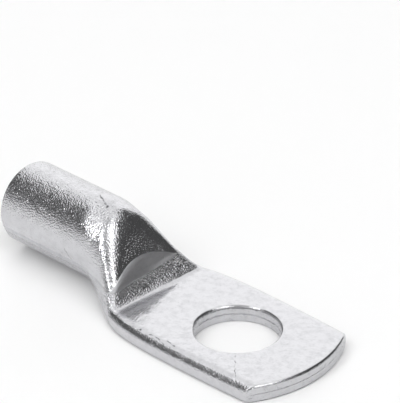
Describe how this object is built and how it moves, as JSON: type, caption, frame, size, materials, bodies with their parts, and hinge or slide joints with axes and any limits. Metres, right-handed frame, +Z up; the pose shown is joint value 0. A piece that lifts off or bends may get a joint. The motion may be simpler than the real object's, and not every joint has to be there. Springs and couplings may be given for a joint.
{
  "type": "tubular cable lug",
  "caption": "Tinned copper cable lug: a round tube for a stripped wire that slopes down into a flat palm with a rounded tip and a stud hole.",
  "frame": {"origin": "centre of the stud hole on the palm's underside", "axes": "+Z up through the stud hole, +X from the hole to the palm's rounded tip, barrel towards -X"},
  "size_m": [0.0389, 0.0146, 0.0089],
  "materials": {
    "tinned_copper": "matt tin plating over copper, lightly scuffed"
  },
  "bodies": {
    "root": {"cable_lug": "tinned_copper"}
  },
  "joints": []
}
